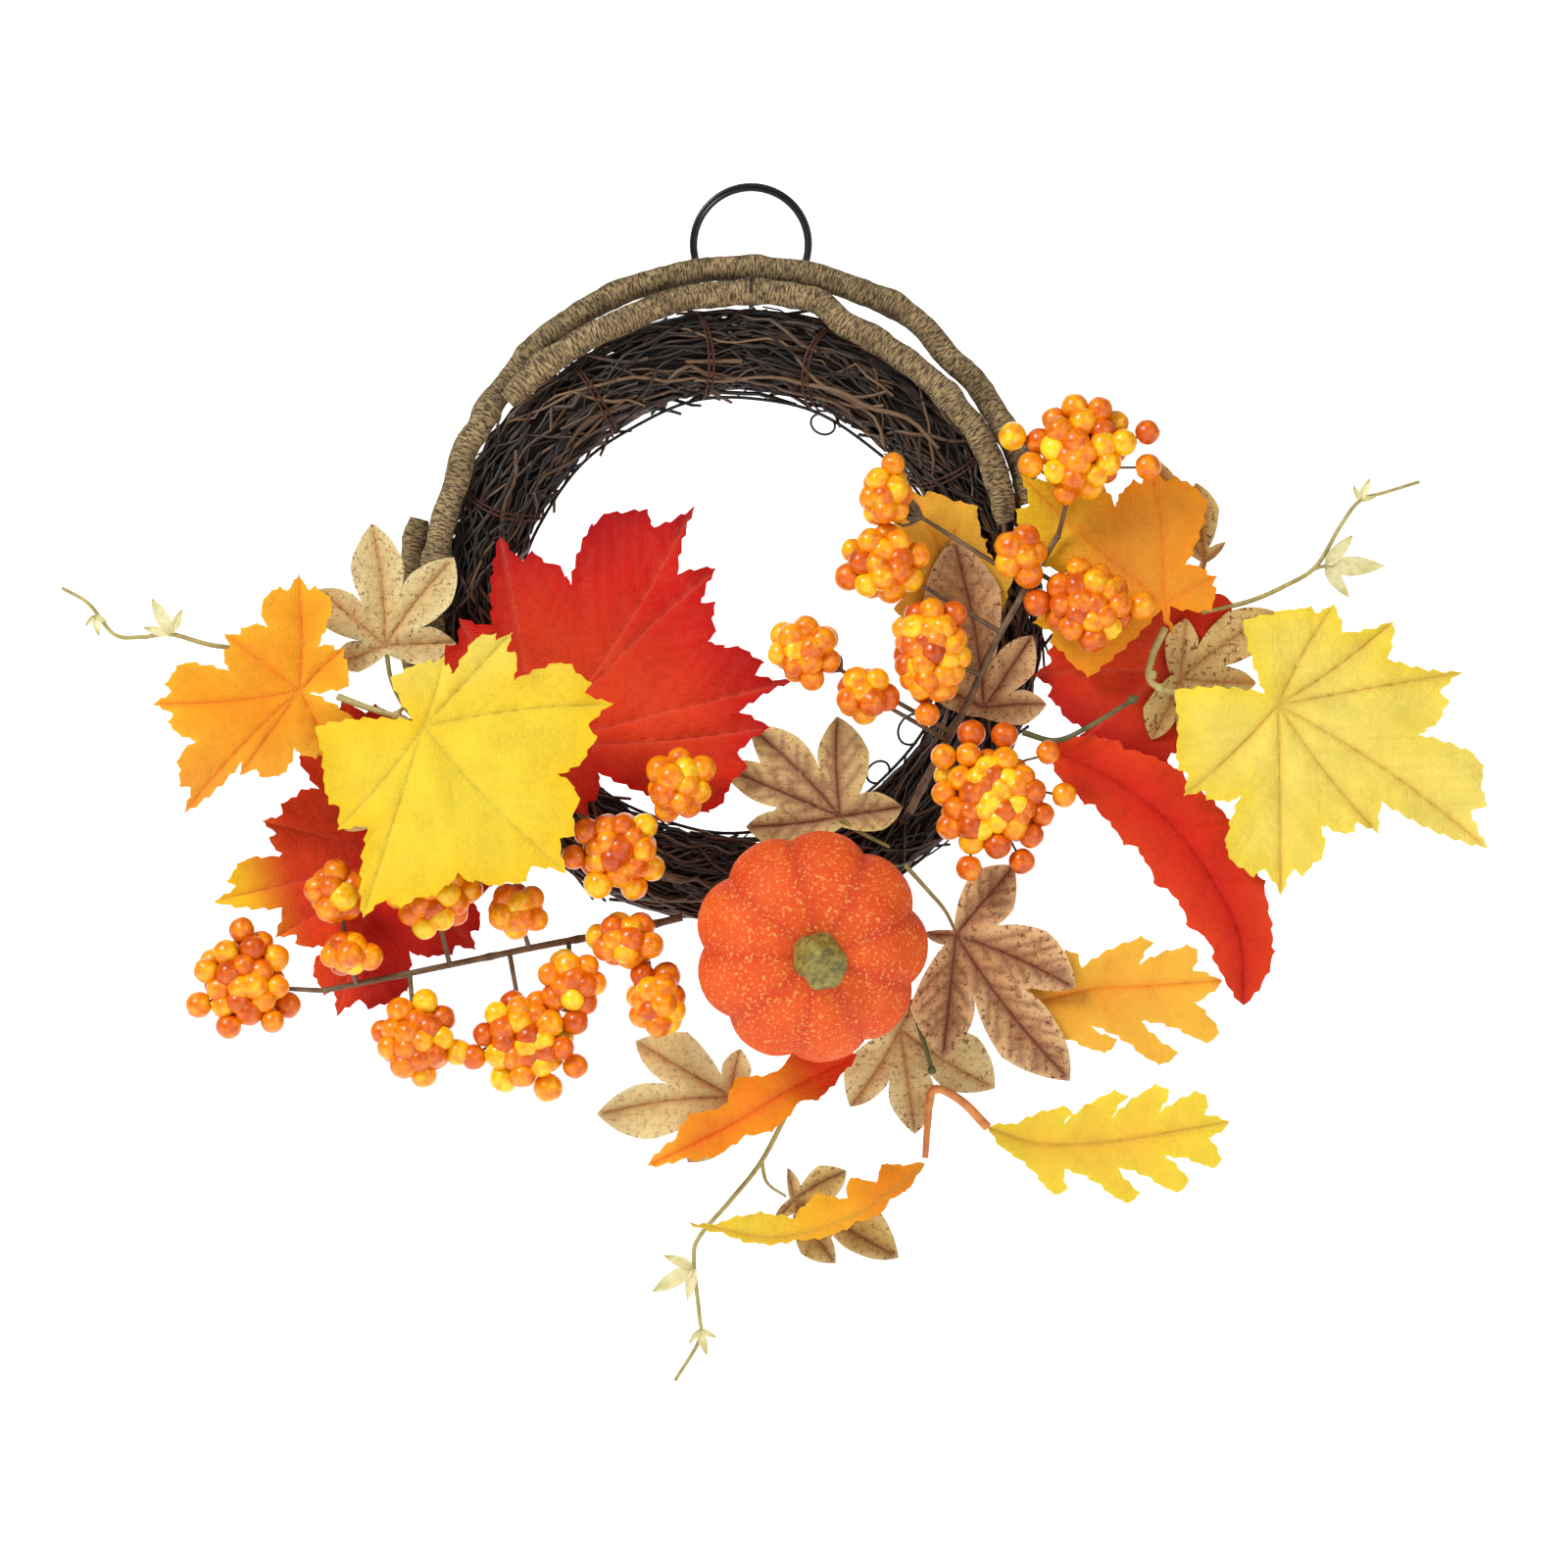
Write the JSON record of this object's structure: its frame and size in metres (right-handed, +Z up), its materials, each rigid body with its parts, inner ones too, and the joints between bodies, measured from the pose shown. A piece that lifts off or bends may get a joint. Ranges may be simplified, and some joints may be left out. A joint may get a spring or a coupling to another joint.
{
  "type": "harvest door wreath",
  "caption": "Hanging wreath: a bound twig ring with bark vines, cloth leaves, berry sprays, tendrils and a ribbed foam pumpkin on a wire hanging ring.",
  "frame": {"origin": "inside top of the hanging ring, where a nail or hook holds the wreath", "axes": "+X to the right and +Z up as seen from the front; the front faces -Y and the door is on the +Y side"},
  "size_m": [0.5212, 0.1132, 0.4437],
  "materials": {
    "black_wire": "satin black enamelled wire",
    "twig": "dry dark twigs",
    "rust_wire": "thin rust-brown wire",
    "vine_bark": "rough bark",
    "pumpkin_foam": "speckled painted foam",
    "stem_olive": "painted foam",
    "berry_stem": "moulded, matt",
    "berry_skin": "painted foam with a thin gloss",
    "leaf_orange": "printed cloth",
    "leaf_yellow": "printed cloth",
    "leaf_red": "printed cloth",
    "leaf_tan": "printed cloth with rust speckles",
    "leaf_brown": "printed cloth with dark veins",
    "leaf_stem_green": "moulded",
    "leaf_stalk": "moulded",
    "oak_stalk": "moulded",
    "tendril": "moulded over wire"
  },
  "bodies": {
    "hanging_ring": {"hanging_ring": "black_wire"},
    "left_leaf_pair": {"left_leaf_fork": "leaf_stalk", "maple_leaf_orange_left": "leaf_orange", "maple_leaf_yellow_left": "leaf_yellow"},
    "right_leaf_pair": {"right_leaf_fork": "leaf_stalk", "maple_leaf_orange_right": "leaf_orange", "maple_leaf_yellow_right": "leaf_yellow"},
    "oak_leaf_pair": {"oak_leaf_fork": "oak_stalk", "oak_leaf_yellow": "leaf_yellow", "oak_leaf_curled": "leaf_yellow"},
    "left_tendril": {"tendril_left": "tendril"},
    "right_tendril": {"tendril_right": "tendril"},
    "lower_tendril": {"tendril_lower": "tendril", "ivy_leaf_on_tendril": "leaf_tan"},
    "wreath": {"ring_tie": "black_wire", "twig_bundle": "twig", "frame_wire": "black_wire", "binding_wire_1": "rust_wire", "binding_wire_2": "rust_wire", "binding_wire_3": "rust_wire", "binding_wire_4": "rust_wire", "binding_wire_5": "rust_wire", "outer_vine": "vine_bark", "inner_vine": "vine_bark", "side_vine": "vine_bark", "pumpkin": "pumpkin_foam", "pumpkin_stem": "stem_olive", "berry_stem_left": "berry_stem", "berry_stem_right": "berry_stem", "berry_stem_upper_left": "berry_stem", "berries_far_left": "berry_skin", "berries_left_upper": "berry_skin", "berries_left_middle": "berry_skin", "berries_left_lower": "berry_skin", "berries_low_middle": "berry_skin", "berries_beside_pumpkin": "berry_skin", "berries_on_red_leaf": "berry_skin", "berries_top_right": "berry_skin", "berries_right_upper": "berry_skin", "berries_centre_tall": "berry_skin", "berries_centre_low": "berry_skin", "berries_right_lower": "berry_skin", "maple_leaf_red_lower_left": "leaf_red", "maple_leaf_red_centre": "leaf_red", "ivy_leaf_upper_left": "leaf_tan", "ivy_leaf_behind_left": "leaf_tan", "ivy_leaf_above_pumpkin": "leaf_brown", "ivy_leaf_beside_pumpkin": "leaf_brown", "ivy_leaf_bottom_left": "leaf_tan", "ivy_leaf_bottom_right": "leaf_tan", "maple_leaf_amber_right": "leaf_orange", "ivy_leaf_rust_right": "leaf_brown", "maple_leaf_red_right": "leaf_red", "ivy_leaf_upper_right": "leaf_tan", "ivy_leaf_speckled_right": "leaf_tan", "oak_leaf_orange": "leaf_orange", "oak_leaf_below_pumpkin": "leaf_orange", "maple_leaf_long_red": "leaf_red", "right_leaf_stem": "leaf_stem_green", "oak_leaf_stem": "leaf_stem_green"}
  },
  "joints": [
    {"name": "wreath_swing", "type": "hinge", "parent": "hanging_ring", "child": "wreath", "pos_m": [0, 0, -0.0432], "axis": [1, 0, 0], "range_deg": [-15, 0]},
    {"name": "left_pair_turn", "type": "hinge", "parent": "wreath", "child": "left_leaf_pair", "pos_m": [-0.12815, -0.058, -0.19738], "axis": [0, -1, 0], "range_deg": [-10, 10]},
    {"name": "right_pair_turn", "type": "hinge", "parent": "wreath", "child": "right_leaf_pair", "pos_m": [0.14569, -0.046, -0.18631], "axis": [0, -1, 0], "range_deg": [-10, 10]},
    {"name": "oak_pair_turn", "type": "hinge", "parent": "wreath", "child": "oak_leaf_pair", "pos_m": [0.06682, -0.034, -0.33371], "axis": [0, -1, 0], "range_deg": [-10, 10]},
    {"name": "left_tendril_bend", "type": "hinge", "parent": "wreath", "child": "left_tendril", "pos_m": [-0.17915, -0.041, -0.17238], "axis": [0, -1, 0], "range_deg": [-15, 15]},
    {"name": "right_tendril_bend", "type": "hinge", "parent": "wreath", "child": "right_tendril", "pos_m": [0.16569, -0.033, -0.15931], "axis": [0, -1, 0], "range_deg": [-15, 15]},
    {"name": "lower_tendril_bend", "type": "hinge", "parent": "wreath", "child": "lower_tendril", "pos_m": [0.01482, -0.021, -0.33971], "axis": [0, -1, 0], "range_deg": [-8, 8]}
  ]
}
